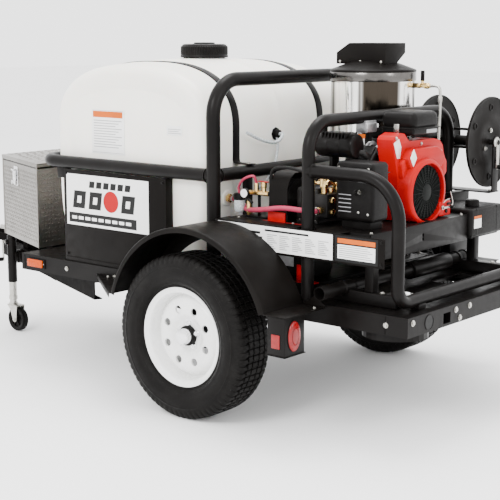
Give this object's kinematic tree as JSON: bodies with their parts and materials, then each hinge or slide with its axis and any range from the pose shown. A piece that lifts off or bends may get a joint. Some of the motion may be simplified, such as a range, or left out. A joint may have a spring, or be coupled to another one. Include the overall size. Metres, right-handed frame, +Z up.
{
  "type": "trailer-mounted pressure washer",
  "caption": "Single-axle trailer carrying a strapped water tank, a skid with engine, belt-driven pump, upright heater and hose reel, a drawbar toolbox and a swivel jack.",
  "frame": {"origin": "on the ground under the middle of the whole trailer", "axes": "+X towards the trailer's rear, -X towards the coupler, -Y towards its left side, +Z up"},
  "size_m": [3.162, 1.62, 1.5175],
  "materials": {
    "black_coat": "satin powder coat",
    "white_enamel": "gloss enamel",
    "tyre_rubber": "moulded tread",
    "natural_poly": "rotomoulded, slightly grained",
    "tread_aluminium": "mill finish with raised pattern",
    "zinc_steel": "zinc plated",
    "polished_stainless": "polished",
    "engine_casting": "cast, painted dark",
    "pump_casting": "cast, painted dark",
    "red_cover": "gloss",
    "red_lens": "clear moulded lens",
    "amber_lens": "clear moulded lens",
    "black_plastic": "moulded",
    "belt_rubber": "matte",
    "red_hose": "smooth"
  },
  "bodies": {
    "chassis": {"main_frame": "black_coat", "tongue": "black_coat", "axle": "black_coat", "leaf_spring_left": "black_coat", "leaf_spring_right": "black_coat", "fender_left": "black_coat", "fender_right": "black_coat", "light_box_left": "black_coat", "light_box_right": "black_coat", "tail_lamp_left": "red_lens", "tail_lamp_right": "red_lens", "marker_lamp_left": "amber_lens", "marker_lamp_right": "amber_lens", "side_panel_left": "black_coat", "side_panel_right": "black_coat", "tank_strap_left": "black_coat", "tank_strap_right": "black_coat", "toolbox_body": "tread_aluminium", "tank": "natural_poly", "tank_guard": "black_coat", "skid_base": "black_coat", "roll_cage": "black_coat", "engine_platform": "black_coat", "skid_panel": "black_coat", "engine_block": "engine_casting", "fan_shroud": "red_cover", "drive_belt": "belt_rubber", "belt_guard": "black_coat", "air_cleaner": "black_plastic", "muffler": "black_coat", "pump": "pump_casting", "suction_hose": "red_hose", "control_box": "black_plastic", "heater_shell": "polished_stainless", "heater_coil": "zinc_steel", "heater_hood": "black_coat", "burner": "black_coat", "fuel_tank": "black_plastic", "battery": "black_plastic"},
    "wheel_left": {"rim_left": "white_enamel", "tyre_left": "tyre_rubber"},
    "wheel_right": {"rim_right": "white_enamel", "tyre_right": "tyre_rubber"},
    "coupler_lever": {"coupler_latch": "zinc_steel"},
    "jack_column": {"jack_tube": "black_coat"},
    "jack_inner": {"jack_leg": "zinc_steel"},
    "jack_handle": {"jack_crank": "zinc_steel"},
    "caster": {"caster_fork": "zinc_steel"},
    "caster_roller": {"caster_wheel": "black_plastic"},
    "box_lid": {"toolbox_lid": "tread_aluminium"},
    "box_latch": {"toolbox_latch": "zinc_steel"},
    "tank_cap": {"tank_lid": "black_plastic"},
    "filler_cap": {"fuel_cap": "black_plastic"},
    "crank_train": {"crankshaft": "zinc_steel"},
    "pump_train": {"pump_pulley": "zinc_steel"},
    "reel": {"hose_reel": "black_coat"},
    "key": {"ignition_key": "zinc_steel"},
    "throttle": {"throttle_lever": "zinc_steel"},
    "unloader": {"unloader_knob": "black_plastic"},
    "valve_handle": {"valve_lever": "red_cover"}
  },
  "joints": [
    {"name": "left_wheel_spin", "type": "hinge", "parent": "chassis", "child": "wheel_left", "pos_m": [0.644, -0.7075, 0.3405], "axis": [0, 1, 0], "continuous": true},
    {"name": "right_wheel_spin", "type": "hinge", "parent": "chassis", "child": "wheel_right", "pos_m": [0.644, 0.7075, 0.3405], "axis": [0, 1, 0], "continuous": true},
    {"name": "coupler_lever_lift", "type": "hinge", "parent": "chassis", "child": "coupler_lever", "pos_m": [-1.431, 0, 0.494], "axis": [0, -1, 0], "range_deg": [0, 75]},
    {"name": "jack_swivel", "type": "hinge", "parent": "chassis", "child": "jack_column", "pos_m": [-1.10671, -0.21543, 0.394], "axis": [-0.3698, -0.9291, 0], "range_deg": [0, 90]},
    {"name": "jack_extend", "type": "slide", "parent": "jack_column", "child": "jack_inner", "axis": [0, 0, 1], "range_m": [-0.1, 0.07]},
    {"name": "jack_crank_turn", "type": "hinge", "parent": "jack_column", "child": "jack_handle", "pos_m": [-1.12297, -0.25631, 0.475], "axis": [-0.3698, -0.9291, 0], "range_deg": [-3600, 2520]},
    {"name": "caster_swivel", "type": "hinge", "parent": "jack_inner", "child": "caster", "pos_m": [-1.10671, -0.21543, 0.1653], "axis": [0, 0, 1], "continuous": true},
    {"name": "caster_roll", "type": "hinge", "parent": "caster", "child": "caster_roller", "pos_m": [-1.07171, -0.21543, 0.06401], "axis": [0, 1, 0], "continuous": true},
    {"name": "toolbox_lid_lift", "type": "hinge", "parent": "chassis", "child": "box_lid", "pos_m": [-0.624, 0, 0.9213], "axis": [0, 1, 0], "range_deg": [0, 85]},
    {"name": "toolbox_latch_swing", "type": "hinge", "parent": "chassis", "child": "box_latch", "pos_m": [-0.93988, -0.32037, 0.811], "axis": [0.9291, -0.3698, 0], "range_deg": [0, 110]},
    {"name": "tank_lid_lift", "type": "slide", "parent": "chassis", "child": "tank_cap", "axis": [0, 0, 1], "range_m": [0, 0.25]},
    {"name": "fuel_cap_lift", "type": "slide", "parent": "chassis", "child": "filler_cap", "axis": [0, 0, 1], "range_m": [0, 0.08]},
    {"name": "crankshaft_spin", "type": "hinge", "parent": "chassis", "child": "crank_train", "pos_m": [0.879, -0.03, 0.917], "axis": [1, 0, 0], "continuous": true},
    {"name": "pump_shaft_spin", "type": "hinge", "parent": "chassis", "child": "pump_train", "pos_m": [0.879, -0.33, 0.885], "axis": [1, 0, 0], "continuous": true},
    {"name": "reel_spin", "type": "hinge", "parent": "chassis", "child": "reel", "pos_m": [0.979, 0.605, 1.077], "axis": [1, 0, 0], "continuous": true},
    {"name": "key_turn", "type": "hinge", "parent": "chassis", "child": "key", "pos_m": [1.264, -0.42, 0.95], "axis": [0, 1, 0], "range_deg": [0, 60]},
    {"name": "throttle_swing", "type": "hinge", "parent": "chassis", "child": "throttle", "pos_m": [1.3363, 0.0757, 0.843], "axis": [1, 0, 0], "range_deg": [-25, 25]},
    {"name": "unloader_turn", "type": "hinge", "parent": "chassis", "child": "unloader", "pos_m": [1.069, -0.3, 0.9653], "axis": [0, 0, 1], "range_deg": [-540, 540]},
    {"name": "valve_turn", "type": "hinge", "parent": "chassis", "child": "valve_handle", "pos_m": [1.069, -0.39, 0.9853], "axis": [0, 0, 1], "range_deg": [0, 90]}
  ],
  "couplings": [
    {"joint": "jack_crank_turn", "follows": "jack_extend", "rad_per_m": 628},
    {"joint": "pump_shaft_spin", "follows": "crankshaft_spin", "ratio": 0.73333}
  ]
}
